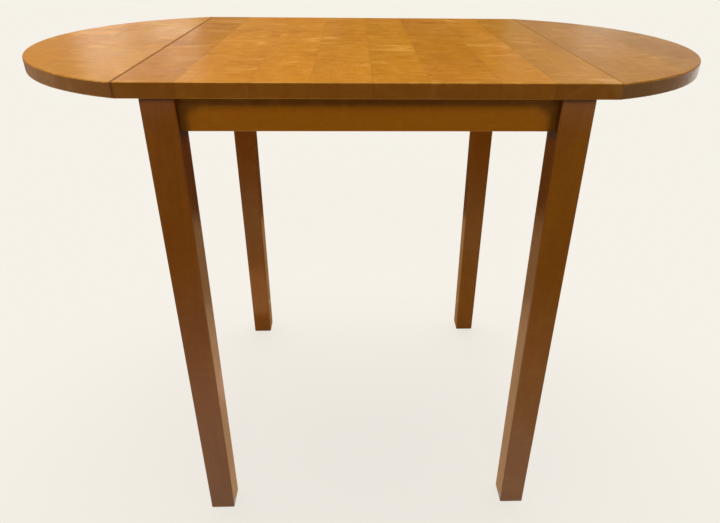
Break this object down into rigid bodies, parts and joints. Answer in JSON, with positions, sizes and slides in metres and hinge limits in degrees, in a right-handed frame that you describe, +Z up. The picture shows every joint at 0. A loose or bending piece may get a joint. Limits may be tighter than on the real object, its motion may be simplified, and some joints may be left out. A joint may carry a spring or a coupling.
{
  "type": "drop-leaf table",
  "caption": "Wooden folding table with a flat centre top, D-shaped drop leaves on back-flap hinges, tapered square legs and swing-out flies that carry the raised leaves.",
  "frame": {"origin": "on the floor under the middle of the centre top", "axes": "+X along the table from the left leaf to the right leaf, +Y from the front apron to the rear apron, +Z up"},
  "size_m": [1.0292, 0.59, 0.75],
  "materials": {
    "top_wood": "clear satin lacquer on honey-coloured staves",
    "leaf_wood": "clear satin lacquer on honey-coloured staves",
    "leg_wood": "clear satin lacquer",
    "hidden_wood": "bare sawn and planed wood",
    "fly_wood": "clear satin lacquer",
    "hinge_steel": "zinc-plated and passivated",
    "pin_steel": "bright drawn steel",
    "bolt_steel": "zinc-plated",
    "screw_steel": "yellow zinc-plated"
  },
  "bodies": {
    "frame": {"centre_top": "top_wood", "front_left_leg": "leg_wood", "front_left_corner_block": "hidden_wood", "front_left_fly_pin": "pin_steel", "front_left_hinge_top_flap": "hinge_steel", "front_left_hinge_pin": "pin_steel", "front_right_leg": "leg_wood", "front_right_corner_block": "hidden_wood", "front_right_fly_pin": "pin_steel", "front_right_hinge_top_flap": "hinge_steel", "front_right_hinge_pin": "pin_steel", "rear_left_leg": "leg_wood", "rear_left_corner_block": "hidden_wood", "rear_left_fly_pin": "pin_steel", "rear_left_hinge_top_flap": "hinge_steel", "rear_left_hinge_pin": "pin_steel", "rear_right_leg": "leg_wood", "rear_right_corner_block": "hidden_wood", "rear_right_fly_pin": "pin_steel", "rear_right_hinge_top_flap": "hinge_steel", "rear_right_hinge_pin": "pin_steel", "front_apron": "leg_wood", "rear_apron": "leg_wood", "left_apron": "leg_wood", "right_apron": "leg_wood", "hanger_bolts": "bolt_steel", "hanger_washers": "bolt_steel", "hanger_nuts": "bolt_steel", "corner_block_screws": "screw_steel", "top_button_screws": "screw_steel", "fly_rail_screws": "screw_steel", "top_hinge_screws": "screw_steel", "top_buttons": "hidden_wood", "left_fly_rail": "fly_wood", "right_fly_rail": "fly_wood"},
    "left_leaf_body": {"left_leaf": "leaf_wood", "left_leaf_hinge_screws": "screw_steel", "front_left_hinge_leaf_flap": "hinge_steel", "rear_left_hinge_leaf_flap": "hinge_steel"},
    "right_leaf_body": {"right_leaf": "leaf_wood", "right_leaf_hinge_screws": "screw_steel", "front_right_hinge_leaf_flap": "hinge_steel", "rear_right_hinge_leaf_flap": "hinge_steel"},
    "front_left_fly_body": {"front_left_fly": "fly_wood"},
    "front_right_fly_body": {"front_right_fly": "fly_wood"},
    "rear_left_fly_body": {"rear_left_fly": "fly_wood"},
    "rear_right_fly_body": {"rear_right_fly": "fly_wood"}
  },
  "joints": [
    {"name": "left_leaf_hinge", "type": "hinge", "parent": "frame", "child": "left_leaf_body", "pos_m": [-0.3068, 0, 0.7265], "axis": [0, -1, 0], "range_deg": [0, 90]},
    {"name": "right_leaf_hinge", "type": "hinge", "parent": "frame", "child": "right_leaf_body", "pos_m": [0.3068, 0, 0.7265], "axis": [0, 1, 0], "range_deg": [0, 90]},
    {"name": "front_left_fly_swing", "type": "hinge", "parent": "frame", "child": "front_left_fly_body", "pos_m": [-0.2775, -0.075, 0.7095], "axis": [0, 0, 1], "range_deg": [-90, 0]},
    {"name": "front_right_fly_swing", "type": "hinge", "parent": "frame", "child": "front_right_fly_body", "pos_m": [0.2775, -0.075, 0.7095], "axis": [0, 0, -1], "range_deg": [-90, 0]},
    {"name": "rear_left_fly_swing", "type": "hinge", "parent": "frame", "child": "rear_left_fly_body", "pos_m": [-0.2775, 0.075, 0.7095], "axis": [0, 0, -1], "range_deg": [-90, 0]},
    {"name": "rear_right_fly_swing", "type": "hinge", "parent": "frame", "child": "rear_right_fly_body", "pos_m": [0.2775, 0.075, 0.7095], "axis": [0, 0, 1], "range_deg": [-90, 0]}
  ]
}
